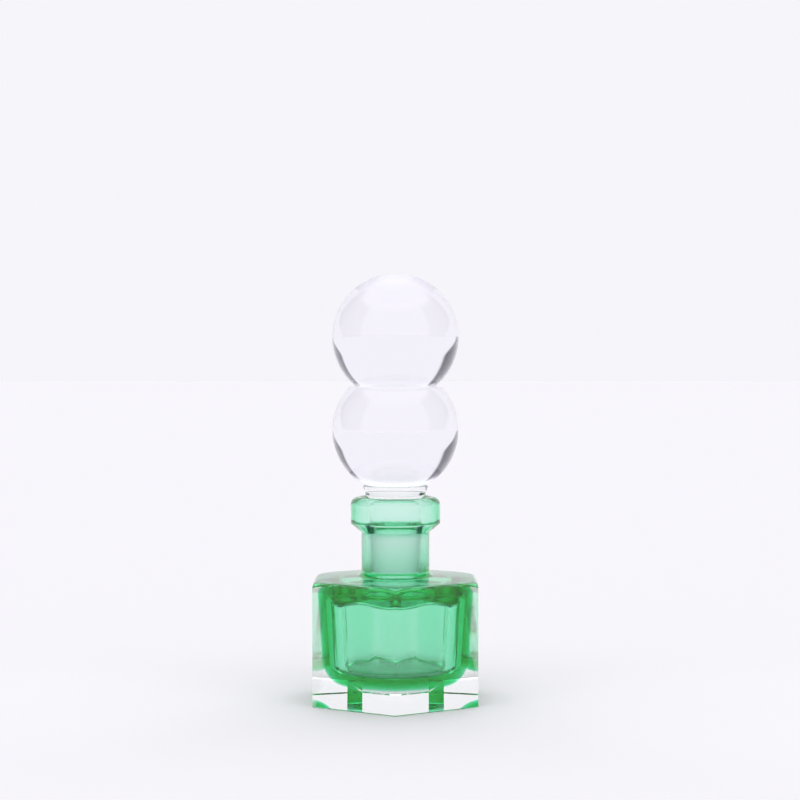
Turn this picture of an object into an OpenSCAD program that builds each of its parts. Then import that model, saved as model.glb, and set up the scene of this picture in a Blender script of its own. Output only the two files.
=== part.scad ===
// Stoppered perfume bottle in cased glass.
// A hollow green core is cased in a clear six-sided block. The casing carries on over the neck and the
// collar, and a ground stopper with two stacked crystal balls closes the bore.
// Origin: middle of the underside, on the axis. +Z up. Two of the block's six faces look along X, and two of
// its edges are at the front and the back, along Y.

/* [Block] */
// Width across two opposite ground faces
block_w = 64; // [56:0.2:72]
// Height at which the sloping top would meet the axis
block_h = 49.2; // [44:0.2:58]
// How far the top falls from there to the edge of the shoulder
top_fall = 1.2; // [0:0.1:2]
// How far the moulded sides stood out before the faces were ground
grind_depth = 0.4; // [0.05:0.05:0.6]
// Radius of the moulded shoulder
shoulder_r = 2.8; // [1:0.1:5]
// Radius that rounds off the six upper corners
corner_r = 5; // [2:0.5:10]

/* [Green core] */
// Width across two opposite sides, at the shoulder
core_w = 52.4; // [48:0.2:60]
// Height of the underside
core_floor_h = 6.6; // [5:0.2:14]
// Height of the shoulder
core_roof_h = 46; // [40:0.2:47]
// How far each side leans in by the underside
core_lean = 2.8; // [0:0.1:4]
// Rounding of the lower edges
core_low_r = 10; // [4:0.2:12]
// Rounding of the upper edges
core_high_r = 4.5; // [2:0.1:6]
// How far the turned surface that rounds off the six corners stands out from the sides
core_corner_out = 0.8; // [0.2:0.1:3]

/* [Hollow] */
// Thickness of the green sides
side_wall = 4.3; // [3:0.1:10]
// Thickness of the green floor
floor_wall = 5; // [2:0.1:8]
// Height of the hollow's shoulder
hollow_roof_h = 40.2; // [34:0.2:41]
// How far the shoulder rises from there to the throat
hollow_rise = 2.2; // [0.5:0.1:4]
// How far each side leans in by the floor
hollow_lean = 1.8; // [0:0.1:3]
// Rounding of the lower edges
hollow_low_r = 3.5; // [2:0.1:9]
// Rounding of the upper edges
hollow_high_r = 1.6; // [1:0.1:5]
// How far the turned surface that rounds off the six corners stands out from the sides
hollow_corner_out = 1.2; // [0.1:0.1:2]

/* [Neck and collar] */
// Diameter of the neck
neck_d = 26.9; // [24:0.1:34]
// Radius of the turn from the block's top into the neck
neck_foot_r = 2; // [0.5:0.1:4]
// Diameter of the collar
collar_d = 35.4; // [30:0.1:44]
// Height at which the collar starts to widen
collar_foot_h = 66.1; // [60:0.1:72]
// Height at which the collar reaches its full width
collar_edge_h = 69.5; // [63:0.1:75]
// Height of the top of the collar
lip_h = 80; // [74:0.1:88]
// Rounding of the collar's upper edge
lip_r = 3; // [1:0.1:4]
// Thickness of the green lining in the neck
lining = 1.8; // [0.8:0.1:2.4]
// Height of the thickest part of the lining, at the foot of the collar
lining_swell_h = 67.5; // [64:0.1:72]

/* [Bore] */
// Diameter above the ground seat
mouth_d = 21; // [18:0.1:24]
// Height at which the ground seat starts
seat_top_h = 66.9; // [62:0.1:72]
// Height at which the ground seat ends
seat_end_h = 49.5; // [47:0.1:56]
// Diameter at the seat's lower end
throat_d = 19.2; // [16:0.1:22]
// Gap between the ground shank and its seat, on the radius
seat_gap = 0.05; // [0.02:0.01:0.1]

/* [Stopper] */
// Diameter of the shank above the seat
shank_d = 20.4; // [17:0.1:23.4]
// Height of the shank's tip when the stopper is in
tip_h = 50.5; // [48:0.1:58]
// Diameter at the foot of the flared head
head_foot_d = 23.8; // [20:0.1:30]
// Diameter at the top of the flared head
head_d = 26; // [22:0.1:34]
// Height of the foot of the flared head
head_foot_h = 80.7; // [80.3:0.1:88]
// Height of the top of the flared head
head_h = 84.5; // [82:0.1:94]
// Thickness of each film of adhesive
bond_t = 0.1; // [0.05:0.05:0.3]

/* [Balls] */
// Diameter of each ball
ball_d = 50; // [44:0.5:60]
// Diameter of the flat ground under the lower ball
foot_flat_d = 24.6; // [20:0.2:34]
// Diameter of the flat ground on top of the lower ball
top_flat_d = 36.4; // [30:0.2:42]
// Diameter of the flat ground under the upper ball
upper_flat_d = 31.2; // [24:0.2:40]

/* [Part] */
// One piece, or all of them

/* [Hidden] */
$fn = 64;

// Turns that carry one pair of opposite faces to all three, and from the middle of a face to a corner.
FACE_TURNS = [0, 60, 120];
CORNER_TURN = 30;

half = block_w / 2;
mould_half = half + grind_depth;
corner_margin = 0.6;
corner_cut_r = half / cos(CORNER_TURN) + corner_margin;
top_cut = 0.25;
corner_drop = 0.3;
core_half = core_w / 2;
hollow_half = core_half - side_wall;
hollow_floor_h = core_floor_h + floor_wall;
neck_r = neck_d / 2;
collar_r = collar_d / 2;
mouth_r = mouth_d / 2;
throat_r = throat_d / 2;
lip_crest_r = collar_r - lip_r;
lip_inner_h = lip_h - (lip_crest_r - mouth_r) / 3;
lining_r = mouth_r + lining;
seat_slope = (mouth_r - throat_r) / (seat_top_h - seat_end_h);
tip_r = mouth_r - seat_gap - seat_slope * (seat_top_h - tip_h);
tip_bevel = 0.6;
clear_skin = 0.2;

// A length to the nearest thousandth, so that flats which meet do so exactly.
function trim(v) = round(v * 1000) / 1000;

// Distance from a ball's middle to a flat ground on it.
function flat_rise(flat_d) = trim(sqrt(pow(ball_d / 2, 2) - pow(flat_d / 2, 2)));

ball_r = ball_d / 2;
lower_ball_mid = head_h + bond_t + flat_rise(foot_flat_d);
lower_ball_top = lower_ball_mid + flat_rise(top_flat_d);
upper_ball_mid = lower_ball_top + bond_t + flat_rise(upper_flat_d);

// Unit vector from one corner of an outline to another.
function toward(a, b) = (b - a) / norm(b - a);

// Half of the angle between the two edges that meet at corner b.
function half_angle(a, b, c) = acos(toward(b, a) * toward(b, c)) / 2;

// Centre of the arc of radius r that rounds corner b.
function arc_mid(a, b, c, r) =
    b + r / sin(half_angle(a, b, c)) * toward([0, 0], toward(b, a) + toward(b, c));

// The two points at which that arc leaves the edges.
function arc_ends(a, b, c, r) =
    [for (far = [a, c]) b + r / tan(half_angle(a, b, c)) * toward(b, far)];

// Convex outline through the corners, each rounded to its own radius; a radius of 0 leaves it sharp.
module rounded_outline(corners, radii) {
    n = len(corners);
    polygon([
        for (i = [0:n - 1])
            each radii[i] > 0
                ? arc_ends(corners[(i + n - 1) % n], corners[i], corners[(i + 1) % n], radii[i])
                : [corners[i]]
    ]);
    for (i = [0:n - 1])
        if (radii[i] > 0)
            translate(arc_mid(corners[(i + n - 1) % n], corners[i], corners[(i + 1) % n], radii[i]))
                circle(r = radii[i]);
}

// Six-sided solid whose outline is the child, seen along each pair of its faces.
module cushion() {
    intersection_for (turn = FACE_TURNS)
        rotate([90, 0, turn])
            translate([0, 0, -block_w])
                linear_extrude(2 * block_w)
                    children();
}

// Turned body with rounded edges and a turned outline (the child) on top of it, flattened on six leaning
// sides. What is left of the turned surface rounds off the corners.
module flattened_body(low_half, high_half, low, high, low_r, high_r, corner_out) {
    widening = (high_half - low_half) / (high - low);
    top_half = high_half + widening * (lip_h + 1 - high);
    intersection() {
        cushion()
            polygon([[-low_half, low], [low_half, low], [top_half, lip_h + 1], [-top_half, lip_h + 1]]);
        rotate_extrude() {
            rounded_outline(
                [[0, low], [low_half + corner_out, low], [high_half + corner_out, high], [0, high]],
                [0, low_r, high_r, 0]
            );
            children();
        }
    }
}

// The block as moulded and ground, without the neck. A turned top with a rounded edge cuts off the six upper
// corners.
module block() {
    edge_h = block_h - top_fall;
    intersection() {
        cushion()
            intersection() {
                rounded_outline(
                    [
                        [-mould_half, -shoulder_r], [mould_half, -shoulder_r],
                        [mould_half, edge_h + top_cut], [-mould_half, edge_h + top_cut]
                    ],
                    [0, 0, shoulder_r, shoulder_r]
                );
                translate([-half, 0])
                    square([block_w, block_h]);
            }
        rotate_extrude()
            rounded_outline(
                [[0, 0], [corner_cut_r, 0], [corner_cut_r, edge_h - corner_drop], [0, block_h]],
                [0, 0, corner_r, 0]
            );
    }
}

// Neck and collar, outside, solid through the middle.
module neck_outside() {
    foot_h = block_h + neck_foot_r - top_fall;
    rotate_extrude() {
        difference() {
            polygon([
                [0, block_h - shoulder_r], [neck_r + neck_foot_r, block_h - shoulder_r],
                [neck_r + neck_foot_r, foot_h], [neck_r, foot_h],
                [neck_r, collar_foot_h], [collar_r, collar_edge_h],
                [collar_r, lip_h - lip_r], [lip_crest_r, lip_h],
                [lip_crest_r - lip_r / 3, lip_h], [mouth_r, lip_inner_h], [0, lip_inner_h]
            ]);
            translate([neck_r + neck_foot_r, foot_h])
                circle(r = neck_foot_r);
        }
        translate([lip_crest_r, lip_h - lip_r])
            circle(r = lip_r);
    }
}

// Everything inside the clear casing, solid through the middle.
module core_outside() {
    flat_r = core_half - core_high_r;
    flattened_body(core_half - core_lean, core_half, core_floor_h, core_roof_h, core_low_r, core_high_r,
        core_corner_out)
        polygon([
            [0, core_roof_h - core_high_r], [flat_r, core_roof_h - core_high_r],
            [flat_r, core_roof_h], [lining_r + lining, block_h - lining],
            [lining_r, block_h + lining], [lining_r, lining_swell_h - 2 * lining],
            [neck_r - clear_skin, collar_foot_h], [neck_r + lining / 2, lining_swell_h],
            [lining_r, lining_swell_h + 2 * lining], [lining_r, lip_h], [0, lip_h]
        ]);
}

// Space for the perfume, with its shoulder running up into the bore.
module hollow() {
    flat_r = hollow_half - hollow_high_r;
    flattened_body(hollow_half - hollow_lean, hollow_half, hollow_floor_h, hollow_roof_h, hollow_low_r,
        hollow_high_r, hollow_corner_out)
        polygon([
            [0, hollow_roof_h - hollow_high_r], [flat_r, hollow_roof_h - hollow_high_r],
            [flat_r, hollow_roof_h], [throat_r, hollow_roof_h + hollow_rise],
            [throat_r, seat_end_h], [mouth_r, seat_top_h], [mouth_r, lip_h + 1], [0, lip_h + 1]
        ]);
}

// Ball with a flat ground under it, and with a second flat on top if top_flat_d is given.
module flatted_ball(foot_flat_d, top_flat_d) {
    foot = flat_rise(foot_flat_d);
    top = flat_rise(top_flat_d);
    intersection() {
        sphere(r = ball_r);
        translate([-ball_r, -ball_r, -foot])
            cube([ball_d, ball_d, foot + top]);
    }
}

// Clear glass round the green core, from the base to the lip.
module clear_casing() {
    color([0.95, 0.97, 0.97, 0.35])
        difference() {
            union() {
                block();
                neck_outside();
            }
            core_outside();
        }
}

// Green glass between the casing and the hollow.
module green_core() {
    color([0.2, 0.72, 0.48, 0.6])
        difference() {
            intersection() {
                core_outside();
                union() {
                    block();
                    neck_outside();
                }
            }
            hollow();
        }
}

// Plug with a ground taper, a plain upper part and a flared head that carries the balls.
module stopper_shank() {
    color([0.9, 0.93, 0.93, 0.6])
        rotate_extrude()
            polygon([
                [0, tip_h], [tip_r - tip_bevel, tip_h], [tip_r, tip_h + tip_bevel],
                [mouth_r - seat_gap, seat_top_h], [shank_d / 2, seat_top_h + tip_bevel],
                [shank_d / 2, lip_inner_h], [head_foot_d / 2, head_foot_h], [head_d / 2, head_h], [0, head_h]
            ]);
}

// Film of adhesive between the shank's head and the lower ball.
module shank_bond() {
    color([0.85, 0.87, 0.9, 0.5])
        translate([0, 0, head_h])
            cylinder(d = foot_flat_d, h = bond_t);
}

// Crystal ball with a ground flat at each end.
module lower_ball() {
    color([0.93, 0.93, 0.96, 0.35])
        translate([0, 0, lower_ball_mid])
            flatted_ball(foot_flat_d, top_flat_d);
}

// Film of adhesive between the two balls.
module ball_bond() {
    color([0.85, 0.87, 0.9, 0.5])
        translate([0, 0, lower_ball_top])
            cylinder(d = upper_flat_d, h = bond_t);
}

// Crystal ball with a ground flat underneath only.
module upper_ball() {
    color([0.93, 0.93, 0.96, 0.35])
        translate([0, 0, upper_ball_mid])
            flatted_ball(upper_flat_d, 0);
}

clear_casing();
green_core();
stopper_shank();
shank_bond();
lower_ball();
ball_bond();
upper_ball();
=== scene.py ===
import math

import bmesh
import bpy
import numpy as np
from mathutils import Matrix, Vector


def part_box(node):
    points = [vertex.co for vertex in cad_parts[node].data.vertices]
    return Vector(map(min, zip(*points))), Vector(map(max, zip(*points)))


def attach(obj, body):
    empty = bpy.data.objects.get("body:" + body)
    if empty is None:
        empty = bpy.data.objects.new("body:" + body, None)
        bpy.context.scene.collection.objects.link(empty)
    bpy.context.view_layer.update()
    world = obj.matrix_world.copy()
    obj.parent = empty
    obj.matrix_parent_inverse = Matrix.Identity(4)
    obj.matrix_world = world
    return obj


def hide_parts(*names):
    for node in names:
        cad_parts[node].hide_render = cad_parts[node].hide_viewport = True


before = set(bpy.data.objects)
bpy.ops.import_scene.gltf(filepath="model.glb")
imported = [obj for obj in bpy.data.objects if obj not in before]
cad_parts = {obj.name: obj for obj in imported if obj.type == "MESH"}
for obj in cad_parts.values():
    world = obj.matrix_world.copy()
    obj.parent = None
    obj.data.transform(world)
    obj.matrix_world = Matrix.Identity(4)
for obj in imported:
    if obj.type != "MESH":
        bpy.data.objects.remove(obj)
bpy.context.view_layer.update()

scene = bpy.context.scene


# --- Green core -------------------------------------------------------------------------------------------
# The bottle starts as a bubble of green glass, softly six-sided, with the hollow inside it. It is blown, so
# its faces wander a little. Its neck is a lining, and it is fused into the clear casing all over its outside.

MM = 0.001
CORE_WIDTH = 52.4 * MM
CORE_LEAN = 2.8 * MM
CORE_FLOOR = 6.6 * MM
CORE_ROOF = 46.0 * MM
CORE_LOW_ROUND = 10.0 * MM
CORE_HIGH_ROUND = 4.5 * MM
CORE_CORNER = 22.0 * MM  # radius of its six upright corners
SIDE_WALL = 4.3 * MM
FLOOR_WALL = 5.0 * MM
HOLLOW_ROOF = 39.6 * MM
HOLLOW_LOW_ROUND = 3.5 * MM
HOLLOW_HIGH_ROUND = 1.6 * MM
HOLLOW_CORNER = 14.0 * MM
HOLLOW_LEAN = 1.8 * MM
HOLLOW_ARCH = 1.4 * MM  # rise of the hollow's shoulder over the middle of each side
NECK_REACH = 13.45 * MM
LINING = 1.1 * MM
COLLAR_LINING = 1.2 * MM
MOUTH_REACH = 10.5 * MM
THROAT_REACH = 9.6 * MM
SEAT_TOP = 66.9 * MM
SEAT_END = 49.5 * MM
BLOCK_TOP = 48.8 * MM
COLLAR_FOOT = 66.1 * MM
COLLAR_EDGE = 69.5 * MM
COLLAR_REACH = 17.7 * MM
LIP_ROUND = 3.0 * MM
LIP_TOP = 80.0 * MM
LIP_CREST = COLLAR_REACH - LIP_ROUND
LIP_INNER = LIP_TOP - (LIP_CREST - MOUTH_REACH) / 3
FUSED_GAP = 0.01 * MM  # between the two skins of the fused face
POLE_REACH = 0.4 * MM  # of the ring next to a pole


def column_angles(per_half_face):
    """Angles round the axis, closer together towards the corners. The faces' middles lie at 0, 60, 120..."""
    steps = np.arange(per_half_face) / per_half_face
    half_face = (1 - (1 - steps) ** 1.5) * math.pi / 6
    face = np.concatenate([half_face, math.pi / 3 - np.append(half_face[1:], math.pi / 6)[::-1]])
    return np.concatenate([face + turn * math.pi / 3 for turn in range(6)])


COLUMNS = column_angles(28)
FOLD = np.abs((COLUMNS + math.pi / 6) % (math.pi / 3) - math.pi / 6)  # from the middle of the nearest face


def turn_corner(before, corner, after, radius, steps):
    """Points of the arc of that radius that rounds a corner of a profile."""
    before, corner, after = (np.array(p, float) for p in (before, corner, after))
    back = (before - corner) / np.linalg.norm(before - corner)
    on = (after - corner) / np.linalg.norm(after - corner)
    half_angle = math.acos(np.clip(back @ on, -1, 1)) / 2
    middle = corner + (back + on) / np.linalg.norm(back + on) * radius / math.sin(half_angle)
    start = corner + back * radius / math.tan(half_angle) - middle
    end = corner + on * radius / math.tan(half_angle) - middle
    sweep = math.pi - 2 * half_angle
    ways = [(math.sin(sweep * (1 - t)) * start + math.sin(sweep * t) * end) / math.sin(sweep)
            for t in np.linspace(0, 1, steps + 1)]
    return [tuple(middle + way) for way in ways]


def profile(corners, longest=1.5 * MM):
    """Profile of (reach, height) points through corners given as (reach, height, radius, steps)."""
    line = []
    for i, (reach, height, radius, steps) in enumerate(corners):
        if radius:
            points = turn_corner(corners[i - 1][:2], (reach, height), corners[i + 1][:2], radius, steps)
        else:
            points = [(reach, height)]
        for point in points:
            if line:
                pieces = max(1, math.ceil(math.dist(line[-1], point) / longest))
                start = line[-1]
                line += [tuple(start[k] + (point[k] - start[k]) * s / pieces for k in (0, 1))
                         for s in range(1, pieces)]
            line.append(point)
    return line


def six_sided_ring(reach, corner):
    """Reach at each column of a six-sided ring whose corners are rounded to the radius corner."""
    corner = min(corner, reach)
    centre = (reach - corner) / math.cos(math.pi / 6)
    flat_end = math.atan2(centre / 2, reach)
    to_corner = math.pi / 6 - FOLD
    rounded = centre * np.cos(to_corner) + np.sqrt(corner ** 2 - (centre * np.sin(to_corner)) ** 2)
    return np.where(flat_end > FOLD, reach / np.cos(FOLD), rounded)


def ring_points(reaches, heights):
    """Points of one ring, from the reach and the height at each column."""
    return np.stack([reaches * np.cos(COLUMNS), reaches * np.sin(COLUMNS),
                     np.broadcast_to(heights, COLUMNS.shape)], axis=1)


def turned_ring(reach, height):
    return ring_points(np.full(COLUMNS.shape, reach), height)


def skin_mesh(name, rings, facets=(), ground=(), sharp_rings=(), sharp_corners=()):
    """Closed mesh over a list of rings, with a pole at each end.
    facets are the ring gaps that are fused to another piece, and ground are those that are ground matt."""
    count = len(COLUMNS)
    mesh = bmesh.new()
    fused = mesh.faces.layers.float.new("fused")
    matt = mesh.faces.layers.float.new("ground")
    levels = [[mesh.verts.new(point) for point in ring] for ring in rings]
    for gap, (low, high) in enumerate(zip(levels, levels[1:])):
        for i in range(count):
            j = (i + 1) % count
            face = mesh.faces.new((low[i], low[j], high[j], high[i]))
            face[fused] = 1.0 if gap in facets else 0.0
            face[matt] = 1.0 if gap in ground else 0.0
            face.smooth = True
    for level, gap in ((levels[0], -1), (levels[-1], len(rings) - 1)):
        pole = mesh.verts.new(sum((v.co for v in level), Vector()) / count)
        for i in range(count):
            face = mesh.faces.new((level[i], level[(i + 1) % count], pole))
            face[fused] = 1.0 if gap in facets else 0.0
            face.smooth = True
    for r in sharp_rings:
        for i in range(count):
            mesh.edges.get((levels[r][i], levels[r][(i + 1) % count])).smooth = False
    corner_columns = [i for i in range(count) if i % (count // 6) == count // 12]
    for r in sharp_corners:
        for i in corner_columns:
            mesh.edges.get((levels[r][i], levels[r + 1][i])).smooth = False
    bmesh.ops.recalc_face_normals(mesh, faces=mesh.faces[:])
    data = bpy.data.meshes.new(name)
    mesh.to_mesh(data)
    mesh.free()
    piece = bpy.data.objects.new(name, data)
    scene.collection.objects.link(piece)
    return piece


def core_skin(gap):
    """Rings of the face where core and casing are fused, from the middle of the underside to the lip, drawn
    in by gap."""
    low, high = CORE_WIDTH / 2 - CORE_LEAN - gap, CORE_WIDTH / 2 - gap
    shoulder = high - CORE_HIGH_ROUND
    body = profile([
        (POLE_REACH, CORE_FLOOR + gap, 0, 0),
        (low, CORE_FLOOR + gap, CORE_LOW_ROUND, 16),
        (high, CORE_ROOF - gap, CORE_HIGH_ROUND, 10),
        (shoulder - 1.0 * MM, CORE_ROOF - gap, 0, 0),
    ])
    lining = MOUTH_REACH + LINING - gap
    throat = profile([
        (shoulder - 1.0 * MM, CORE_ROOF - gap, 0, 0),
        (lining + 1.0 * MM, BLOCK_TOP - 1.0 * MM, 2.5 * MM, 6),
        (lining, COLLAR_FOOT - 2.4 * MM, 1.5 * MM, 6),
        (NECK_REACH - 0.2 * MM - gap, COLLAR_FOOT - 0.6 * MM, 0.6 * MM, 6),
        (NECK_REACH - 0.2 * MM - gap, COLLAR_FOOT, 0.5 * MM, 4),
        (COLLAR_REACH - 0.8 * MM - gap, COLLAR_EDGE, 0.4 * MM, 6),
        (MOUTH_REACH + COLLAR_LINING - gap, COLLAR_EDGE + 0.8 * MM, 1.0 * MM, 6),
        (MOUTH_REACH + COLLAR_LINING - gap, LIP_TOP - 1.0 * MM, 0, 0),
    ])[1:]
    rings = [ring_points(six_sided_ring(reach, CORE_CORNER), height) for reach, height in body]
    rings += [turned_ring(reach, height) if reach < CORE_CORNER else
              ring_points(six_sided_ring(reach, CORE_CORNER), height) for reach, height in throat]
    return rings


def hollow_skin():
    """Rings of the glass that meets air inside, from the lip down the bore to the middle of the floor, and
    which of the gaps between them are ground matt."""
    high = CORE_WIDTH / 2 - SIDE_WALL
    floor = CORE_FLOOR + FLOOR_WALL
    line = profile([
        (MOUTH_REACH + COLLAR_LINING - 0.3 * MM, LIP_TOP - 1.0 * MM, 0, 0),
        (MOUTH_REACH, LIP_INNER, 0.4 * MM, 4),
        (MOUTH_REACH, SEAT_TOP, 0, 0),
        (THROAT_REACH, SEAT_END, 0, 0),
        (THROAT_REACH, HOLLOW_ROOF + 2.2 * MM, 1.5 * MM, 8),
        (high, HOLLOW_ROOF, HOLLOW_HIGH_ROUND, 10),
        (high - HOLLOW_LEAN, floor, HOLLOW_LOW_ROUND, 14),
        (POLE_REACH, floor, 0, 0),
    ])
    rings, ground = [], []
    for i, (reach, height) in enumerate(line):
        raised = np.clip((height - 0.6 * HOLLOW_ROOF) / (0.4 * HOLLOW_ROOF), 0, 1) ** 2
        raised *= np.clip((reach - THROAT_REACH) / (high - THROAT_REACH), 0, 1)
        arch = HOLLOW_ARCH * raised * (0.5 + 0.5 * np.cos(6 * FOLD))
        rings.append(ring_points(six_sided_ring(reach, HOLLOW_CORNER), height + arch))
        if SEAT_END - 0.1 * MM < height < SEAT_TOP + 0.1 * MM and line[i + 1][1] > SEAT_END - 0.1 * MM:
            ground.append(i)
    return rings, ground


core_rings = core_skin(FUSED_GAP)
inner_rings, ground_gaps = hollow_skin()
green_core = skin_mesh("green_core_glass", core_rings + inner_rings,
                       facets=range(-1, len(core_rings) - 1),
                       ground=[len(core_rings) + gap for gap in ground_gaps],
                       sharp_rings=[len(core_rings) - 1, len(core_rings)])


class Value:
    """A shader socket that takes part in sums."""

    def __init__(self, tree, socket):
        self.tree, self.socket = tree, socket

    def _math(self, operation, first, second):
        return self.tree.add("ShaderNodeMath", {"operation": operation}, {0: first, 1: second})

    def __add__(self, other):
        return self._math("ADD", self, other)

    def __sub__(self, other):
        return self._math("SUBTRACT", self, other)

    def __mul__(self, other):
        return self._math("MULTIPLY", self, other)

    def __rsub__(self, other):
        return self._math("SUBTRACT", other, self)

    __radd__, __rmul__ = __add__, __mul__


class Finish:
    """The nodes of a material, of the world or of a node group."""

    def __init__(self, owner, end=None):
        self.owner = owner
        tree = getattr(owner, "node_tree", owner)
        self.nodes, self.links = tree.nodes, tree.links
        self.nodes.clear()
        self.end = self.nodes.new(end) if end else None

    def add(self, kind, settings=None, inputs=None, out=0):
        """One node: its settings first, then the values or links of its sockets."""
        node = self.nodes.new(kind)
        for key, setting in (settings or {}).items():
            setattr(node, key, setting)
        for key, value in (inputs or {}).items():
            if isinstance(value, Value):
                self.links.new(value.socket, node.inputs[key])
            else:
                node.inputs[key].default_value = value
        return Value(self, node.outputs[out])

    def close(self, surface, volume=None):
        """Join the surface, and the volume if there is one, to the last node."""
        self.links.new(surface.socket, self.end.inputs["Surface"])
        if volume is not None:
            self.links.new(volume.socket, self.end.inputs["Volume"])
        return self.owner


def material_finish(name):
    material = bpy.data.materials.new(name)
    material.use_nodes = True
    return Finish(material, "ShaderNodeOutputMaterial")


GLASS_IOR = 1.547
GREEN_TINT = (0.05, 0.865, 0.54, 1.0)
GREEN_DENSITY = 205.0


def glass(finish, roughness=0.0, ior=GLASS_IOR, colour=(1, 1, 1, 1), normal=None):
    """A face of glass. With an IOR of 1 it neither bends nor reflects light, as in a fused joint."""
    inputs = {"Roughness": roughness, "IOR": ior, "Color": colour}
    if normal is not None:
        inputs["Normal"] = normal
    return finish.add("ShaderNodeBsdfGlass", {"distribution": "MULTI_GGX"}, inputs)


def waves(finish, scale, strength, depth):
    """Slow unevenness of a glass face, as a normal."""
    place = finish.add("ShaderNodeTexCoord", out="Object")
    height = finish.add("ShaderNodeTexNoise", {}, {"Vector": place, "Scale": scale, "Detail": 2.0})
    return finish.add("ShaderNodeBump", {}, {"Strength": strength, "Distance": depth, "Height": height})


def green_glass():
    finish = material_finish("green_glass")
    blown = waves(finish, 70.0, 0.5, 0.35 * MM)
    fused = finish.add("ShaderNodeAttribute", {"attribute_name": "fused"}, out="Fac")
    ground = finish.add("ShaderNodeAttribute", {"attribute_name": "ground"}, out="Fac")
    polished = glass(finish, roughness=0.2 * ground, normal=blown)
    surface = finish.add("ShaderNodeMixShader", {}, {0: fused, 1: polished, 2: glass(finish, ior=1.0)})
    volume = finish.add("ShaderNodeVolumeAbsorption", {}, {"Color": GREEN_TINT, "Density": GREEN_DENSITY})
    return finish.close(surface, volume)


green_core.data.materials.append(green_glass())
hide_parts("green_core")
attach(green_core, "bottle")


# --- Clear casing -----------------------------------------------------------------------------------------
# Clear glass gathered over the green and pressed in a six-sided mould, which rounded its shoulder. The six
# sides and the base were then ground flat and polished, so their edges are sharp. The casing runs on up.

BLOCK_HALF = 32.0 * MM
SHOULDER_ROUND = 2.8 * MM
GRIND_DEPTH = 0.7 * MM
CORNER_ROUND = 6.0 * MM
SHOULDER_DEPTH = 4.2 * MM  # how far in from the sides the rounding reaches
TOP_FALL = 0.8 * MM
NECK_FOOT_ROUND = 2.0 * MM
BASE_BEVEL = 0.3 * MM


def block_skin():
    """Rings of the block from the middle of the base to the foot of the neck."""
    stretch = 1 / np.cos(FOLD)
    arc_middle = BLOCK_HALF + GRIND_DEPTH - SHOULDER_ROUND
    foot = NECK_REACH + NECK_FOOT_ROUND
    corner_middle = BLOCK_HALF / math.cos(math.pi / 6) - SHOULDER_DEPTH

    def fall(distance, radius):
        return radius - np.sqrt(radius ** 2 - np.clip(distance, 0, radius) ** 2)

    def top_height(across):
        reach = across * stretch
        dome = TOP_FALL * np.clip((reach - foot) / (BLOCK_HALF - foot), 0, 2) ** 1.2
        over_face = fall(across - arc_middle, SHOULDER_ROUND)
        over_corner = fall(reach - corner_middle, CORNER_ROUND)
        return BLOCK_TOP - dome - (over_face ** 3 + over_corner ** 3) ** (1 / 3)

    rings = [ring_points(across * stretch, 0.0)
             for across in np.linspace(POLE_REACH, BLOCK_HALF - BASE_BEVEL, 12)]
    base_edge = len(rings) - 1
    line = top_height(BLOCK_HALF)
    for part in np.linspace(0, 1, 25):
        rings.append(ring_points(BLOCK_HALF * stretch, BASE_BEVEL + (line - BASE_BEVEL) * part))
    face_line = len(rings) - 1
    for turn in np.linspace(0, 1, 26)[1:]:
        across = BLOCK_HALF - SHOULDER_DEPTH * turn ** 1.3
        rings.append(ring_points(across * stretch, top_height(across)))
    edge = (BLOCK_HALF - SHOULDER_DEPTH) * stretch
    for part in np.linspace(0, 1, 10)[1:]:
        reaches = edge + (foot - edge) * part
        rings.append(ring_points(reaches, top_height(reaches / stretch)))
    return rings, base_edge, face_line


block_rings, base_edge, face_line = block_skin()
neck_line = profile([
    (NECK_REACH + 4.0 * MM, BLOCK_TOP, 0, 0),
    (NECK_REACH, BLOCK_TOP, NECK_FOOT_ROUND, 10),
    (NECK_REACH, COLLAR_FOOT, 0.7 * MM, 6),
    (COLLAR_REACH, COLLAR_EDGE, 0.9 * MM, 6),
    (COLLAR_REACH, LIP_TOP, LIP_ROUND, 12),
    (LIP_CREST - 0.6 * MM, LIP_TOP, 1.0 * MM, 6),
    (MOUTH_REACH + COLLAR_LINING, LIP_TOP - 1.0 * MM, 0, 0),
])
foot_start = next(k for k, (reach, _) in enumerate(neck_line) if reach < NECK_REACH + NECK_FOOT_ROUND)
outer_rings = block_rings + [turned_ring(reach, height) for reach, height in neck_line[foot_start:]]
casing_core_rings = core_skin(0.0)
fused_start = len(outer_rings)
clear_casing = skin_mesh("clear_casing_glass", outer_rings + casing_core_rings[::-1],
                         facets=range(fused_start, fused_start + len(casing_core_rings)),
                         sharp_rings=[base_edge, base_edge + 1, face_line, fused_start - 1, fused_start],
                         sharp_corners=range(base_edge, face_line))


def clear_glass():
    finish = material_finish("clear_glass")
    fused = finish.add("ShaderNodeAttribute", {"attribute_name": "fused"}, out="Fac")
    place = finish.add("ShaderNodeTexCoord", out="Object")
    wear = finish.add("ShaderNodeTexNoise", {}, {"Vector": place, "Scale": 900.0, "Detail": 4.0})
    rubbed = finish.add("ShaderNodeMapRange", {}, {"Value": wear, "From Min": 0.62, "From Max": 0.8,
                                                   "To Max": 0.02})
    polished = glass(finish, roughness=rubbed, normal=waves(finish, 45.0, 0.3, 0.05 * MM))
    surface = finish.add("ShaderNodeMixShader", {}, {0: fused, 1: polished, 2: glass(finish, ior=1.0)})
    return finish.close(surface)


clear_casing.data.materials.append(clear_glass())
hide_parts("clear_casing")
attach(clear_casing, "bottle")


# --- Stopper shank ----------------------------------------------------------------------------------------
# A plug of glass, ground to a taper that matches the seat in the neck and left matt there. Above the seat it
# is polished, and its flared head carries the balls.

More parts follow.
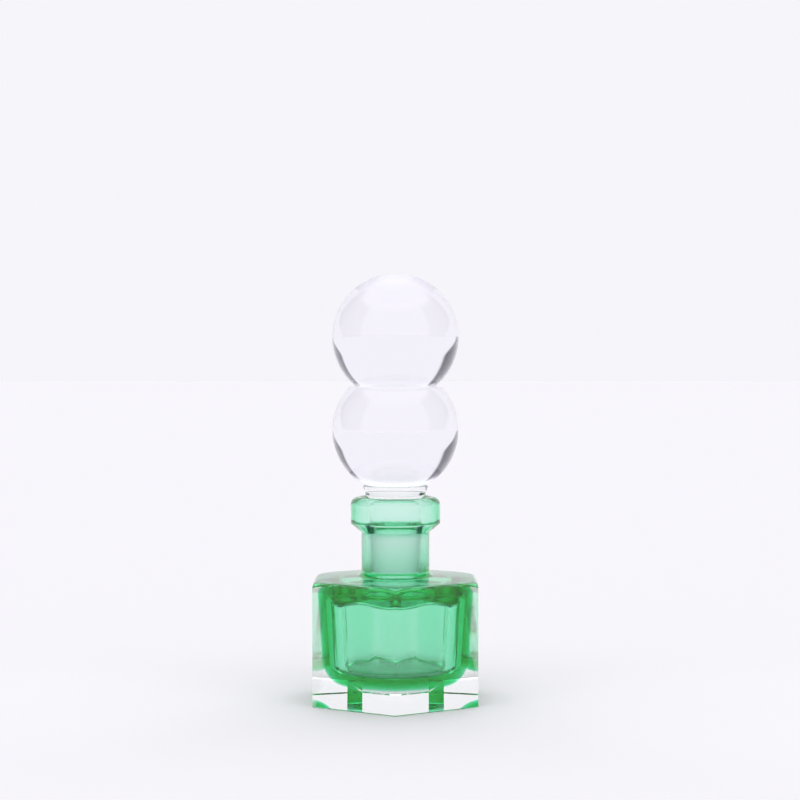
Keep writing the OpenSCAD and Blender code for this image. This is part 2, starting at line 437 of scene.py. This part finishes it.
SHANK_LOW = 50.5 * MM
SHANK_HEAD = 84.5 * MM
SEAT_GAP = 0.05 * MM
SHANK_REACH = 10.2 * MM
HEAD_FOOT = (11.9 * MM, 80.7 * MM)
HEAD_REACH = 13.0 * MM
SEAT_SLOPE = (MOUTH_REACH - THROAT_REACH) / (SEAT_TOP - SEAT_END)
TIP_REACH = MOUTH_REACH - SEAT_GAP - SEAT_SLOPE * (SEAT_TOP - SHANK_LOW)

shank_line = profile([
    (POLE_REACH, SHANK_LOW, 0, 0),
    (TIP_REACH, SHANK_LOW, 0.8 * MM, 5),
    (MOUTH_REACH - SEAT_GAP, SEAT_TOP, 0, 0),
    (SHANK_REACH, SEAT_TOP + 0.6 * MM, 0, 0),
    (SHANK_REACH, LIP_INNER, 1.5 * MM, 5),
    (*HEAD_FOOT, 3.0 * MM, 5),
    (HEAD_REACH, SHANK_HEAD, 0.25 * MM, 4),
    (POLE_REACH, SHANK_HEAD, 0, 0),
])
stopper_shank = skin_mesh("stopper_shank_glass", [turned_ring(*point) for point in shank_line])


def ground_glass():
    finish = material_finish("ground_glass")
    place = finish.add("ShaderNodeTexCoord", out="Object")
    height = finish.add("ShaderNodeSeparateXYZ", {}, {0: place}, out="Z")
    ground = finish.add("ShaderNodeMapRange", {"interpolation_type": "SMOOTHSTEP"},
                        {"Value": height, "From Min": SEAT_TOP + 0.3 * MM, "From Max": SEAT_TOP - 0.3 * MM})
    polished = glass(finish, normal=waves(finish, 60.0, 0.3, 0.05 * MM))
    grain = finish.add("ShaderNodeTexNoise", {}, {"Vector": place, "Scale": 2500.0, "Detail": 3.0})
    rubbed = finish.add("ShaderNodeMapRange", {}, {"Value": grain, "To Min": 0.26, "To Max": 0.38})
    matt = glass(finish, roughness=rubbed)
    return finish.close(finish.add("ShaderNodeMixShader", {}, {0: ground, 1: polished, 2: matt}))


stopper_shank.data.materials.append(ground_glass())
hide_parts("stopper_shank")
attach(stopper_shank, "stopper")


# --- Adhesive films ---------------------------------------------------------------------------------------
# Two round films of clear adhesive hold the stopper together, one under the lower ball and one between the
# balls. Each is 0.1 mm thick, hardened under lamp light, and keeps a few very small bubbles.

FILM_EDGE = 0.02 * MM
FILM_GAP = 0.004 * MM  # to the glass above and below


def adhesive_film(node):
    low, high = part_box(node)
    reach = (high.x - low.x) / 2
    line = [
        (POLE_REACH, low.z + FILM_GAP),
        (reach - FILM_EDGE, low.z + FILM_GAP),
        (reach, low.z + FILM_EDGE),
        (reach, high.z - FILM_EDGE),
        (reach - FILM_EDGE, high.z - FILM_GAP),
        (POLE_REACH, high.z - FILM_GAP),
    ]
    return skin_mesh(node + "_film", [turned_ring(*point) for point in line], sharp_rings=[1, 4])


def clear_adhesive():
    finish = material_finish("clear_adhesive")
    place = finish.add("ShaderNodeTexCoord", out="Object")
    spacing = finish.add("ShaderNodeTexVoronoi", {}, {"Vector": place, "Scale": 420.0}, out="Distance")
    bubble = finish.add("ShaderNodeMapRange", {"interpolation_type": "SMOOTHSTEP"},
                        {"Value": spacing, "From Min": 0.12, "From Max": 0.08})
    film = glass(finish, ior=1.0, colour=(0.99, 0.99, 1, 1))
    trapped = glass(finish, roughness=0.1, ior=1.2)
    return finish.close(finish.add("ShaderNodeMixShader", {}, {0: bubble, 1: film, 2: trapped}))


adhesive = clear_adhesive()
for node in ("shank_bond", "ball_bond"):
    film = adhesive_film(node)
    film.data.materials.append(adhesive)
    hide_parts(node)
    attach(film, "stopper")


# --- Crystal balls ----------------------------------------------------------------------------------------
# Two polished crystal balls of one size. Each is ground flat where it is stuck to the piece under it, and the
# lower one on top as well. They are turned from a rule: a ball cut by two level planes.

BALL_REACH = 25.0 * MM
FLATS = {"lower_ball": (12.3 * MM, 18.2 * MM), "upper_ball": (15.6 * MM, 0.2 * MM)}  # under it and on it


def crystal():
    finish = material_finish("crystal")
    polish = waves(finish, 55.0, 0.25, 0.04 * MM)
    return finish.close(glass(finish, colour=(0.985, 0.98, 1, 1), normal=polish))


def cut_ball_rule(material):
    """Node group for a ball of radius Radius that stands on the height Foot Height. Its foot is cut off in a
    flat of radius Foot Flat, and its top in one of radius Top Flat."""
    group = bpy.data.node_groups.new("cut_ball", "GeometryNodeTree")
    for name in ("Radius", "Foot Flat", "Top Flat", "Foot Height"):
        group.interface.new_socket(name, in_out="INPUT", socket_type="NodeSocketFloat")
    for name, number in (("Columns", 160), ("Rows", 90)):
        counted = group.interface.new_socket(name, in_out="INPUT", socket_type="NodeSocketInt")
        counted.default_value = number
    group.interface.new_socket("Geometry", in_out="OUTPUT", socket_type="NodeSocketGeometry")
    rule = Finish(group)
    given = group.nodes.new("NodeGroupInput")
    radius, foot, top, stand, columns, rows = (Value(rule, given.outputs[k]) for k in range(6))

    def maths(operation, *values):
        return rule.add("ShaderNodeMath", {"operation": operation}, dict(enumerate(values)))

    def cap(reach, height):
        disc = rule.add("GeometryNodeMeshCircle", {"fill_type": "TRIANGLE_FAN"},
                        {"Vertices": columns, "Radius": reach})
        lift = rule.add("ShaderNodeCombineXYZ", {}, {"Z": height})
        return rule.add("GeometryNodeTransform", {}, {"Geometry": disc, "Translation": lift})

    below = maths("ARCCOSINE", maths("DIVIDE", foot, radius))
    above = maths("ARCCOSINE", maths("DIVIDE", top, radius))
    centre = stand + radius * maths("SINE", below)
    grid = rule.add("GeometryNodeMeshGrid", {}, {"Size X": 1.0, "Size Y": 1.0, "Vertices X": columns + 1,
                                                 "Vertices Y": rows})
    place = rule.add("GeometryNodeInputPosition")
    round_axis = (rule.add("ShaderNodeSeparateXYZ", {}, {0: place}, out="X") + 0.5) * math.tau
    part = rule.add("ShaderNodeSeparateXYZ", {}, {0: place}, out="Y") + 0.5
    slope = part * (below + above) - below
    reach = radius * maths("COSINE", slope)
    turned = rule.add("ShaderNodeCombineXYZ", {}, {"X": reach * maths("COSINE", round_axis),
                                                   "Y": reach * maths("SINE", round_axis),
                                                   "Z": centre + radius * maths("SINE", slope)})
    band = rule.add("GeometryNodeSetPosition", {}, {"Geometry": grid, "Position": turned})
    band = rule.add("GeometryNodeSetShadeSmooth", {}, {"Geometry": band, "Shade Smooth": True})
    join = group.nodes.new("GeometryNodeJoinGeometry")
    for shape in (band, cap(foot, stand), cap(top, centre + radius * maths("SINE", above))):
        group.links.new(shape.socket, join.inputs[0])
    whole = rule.add("GeometryNodeMergeByDistance", {}, {"Geometry": Value(rule, join.outputs[0]),
                                                         "Distance": 0.002 * MM})
    whole = rule.add("GeometryNodeRealizeInstances", {}, {"Geometry": whole})
    whole = rule.add("GeometryNodeSetMaterial", {}, {"Geometry": whole, "Material": material})
    group.links.new(whole.socket, group.nodes.new("NodeGroupOutput").inputs[0])
    return group


def cut_ball(name, group, sizes):
    """A plain mesh made by the node group from its sizes, smooth on the ball and flat on the cuts."""
    seed = bpy.data.objects.new(name + "_seed", bpy.data.meshes.new(name + "_seed"))
    scene.collection.objects.link(seed)
    modifier = seed.modifiers.new("cut_ball", "NODES")
    modifier.node_group = group
    for item in group.interface.items_tree:
        if item.name in sizes:
            modifier[item.identifier] = sizes[item.name]
    seed.update_tag()
    shape = seed.evaluated_get(bpy.context.evaluated_depsgraph_get())
    data = bpy.data.meshes.new_from_object(shape)
    seed.modifiers.remove(modifier)
    bpy.data.objects.remove(seed)
    mesh = bmesh.new()
    mesh.from_mesh(data)
    bmesh.ops.recalc_face_normals(mesh, faces=mesh.faces[:])
    for face in mesh.faces:
        face.smooth = len(face.verts) == 4
    mesh.to_mesh(data)
    mesh.free()
    piece = bpy.data.objects.new(name, data)
    scene.collection.objects.link(piece)
    return piece


polished_crystal = crystal()
ball_rule = cut_ball_rule(polished_crystal)
for node, (foot_flat, top_flat) in FLATS.items():
    sizes = {"Radius": BALL_REACH, "Foot Flat": foot_flat, "Top Flat": top_flat,
             "Foot Height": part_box(node)[0].z}
    piece = cut_ball(node + "_crystal", ball_rule, sizes)
    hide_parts(node)
    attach(piece, "stopper")


# --- Stage, light and camera ------------------------------------------------------------------------------
# A pale seamless table in an even, soft white tent, with a dim opening on each side of it.

FLOOR_REACH = 60.0
FLOOR_DROP = 0.1 * MM
floor_mesh = bpy.data.meshes.new("table_top")
floor_corners = [(-1, -1), (1, -1), (1, 1), (-1, 1)]
floor_mesh.from_pydata([(x * FLOOR_REACH, y * FLOOR_REACH, -FLOOR_DROP) for x, y in floor_corners],
                       [], [(0, 1, 2, 3)])
floor = bpy.data.objects.new("table_top", floor_mesh)
scene.collection.objects.link(floor)
paper = material_finish("table_paper")
fibres = paper.add("ShaderNodeTexNoise", {}, {"Vector": paper.add("ShaderNodeTexCoord", out="Object"),
                                              "Scale": 1200.0, "Detail": 3.0})
sheet = paper.add("ShaderNodeMix", {"data_type": "RGBA"}, {0: fibres, 6: (0.96, 0.955, 0.975, 1),
                                                           7: (0.98, 0.975, 0.995, 1)}, out=2)
floor_mesh.materials.append(paper.close(paper.add("ShaderNodeBsdfDiffuse", {}, {"Color": sheet})))

TENT = (0.9216, 0.9131, 0.9559, 1)
OVERHEAD = (1.42, 1.41, 1.43, 1)
OPENING = (0.06, 0.057, 0.07, 1)
world = bpy.data.worlds.new("soft_tent")
world.use_nodes = True
scene.world = world
tent = Finish(world, "ShaderNodeOutputWorld")
way = tent.add("ShaderNodeTexCoord", out="Generated")
aside, ahead, up = (tent.add("ShaderNodeSeparateXYZ", {}, {0: way}, out=axis) for axis in "XYZ")
azimuth = tent.add("ShaderNodeMath", {"operation": "ARCTAN2"}, {0: aside, 1: ahead})


def fade(value, start, end):
    """0 at start and beyond it, 1 at end."""
    return tent.add("ShaderNodeMapRange", {"interpolation_type": "SMOOTHSTEP"},
                    {"Value": value, "From Min": start, "From Max": end})


def side_opening(bearing, edge):
    """A dim opening from edge round towards the back, in degrees, set further back near the table."""
    set_back = fade(up, 0.30, 0.0) * math.radians(25)
    return (fade(bearing - set_back, math.radians(edge), math.radians(edge + 7))
            * fade(bearing, math.radians(120), math.radians(110)))


openings = side_opening(azimuth * -1.0, 40) + side_opening(azimuth, 50)
opening = openings * fade(up, -0.02, 0.03) * fade(up, 0.80, 0.68)
colour = tent.add("ShaderNodeMix", {"data_type": "RGBA"},
                  {0: fade(up, 0.62, 0.85), 6: TENT, 7: OVERHEAD}, out=2)
colour = tent.add("ShaderNodeMix", {"data_type": "RGBA"}, {0: opening, 6: colour, 7: OPENING}, out=2)
tent.close(tent.add("ShaderNodeBackground", {}, {"Color": colour, "Strength": 1.0}))

CAMERA_DISTANCE = 0.681
CAMERA_HEIGHT = 0.1271
LENS = 77.5
SIDE_SHIFT = 1.8 * MM
camera_data = bpy.data.cameras.new("camera")
camera_data.lens = LENS
camera_data.sensor_width = 36.0
camera_data.clip_end = 100.0
camera = bpy.data.objects.new("camera", camera_data)
scene.collection.objects.link(camera)
camera.location = (SIDE_SHIFT, -CAMERA_DISTANCE, CAMERA_HEIGHT)
camera.rotation_euler = (math.radians(90 - 0.745), 0, 0)
scene.camera = camera

scene.view_settings.view_transform = "Standard"
scene.cycles.max_bounces = 48
scene.cycles.transmission_bounces = 48
scene.cycles.glossy_bounces = 24
scene.cycles.transparent_max_bounces = 32
scene.cycles.use_denoising = True
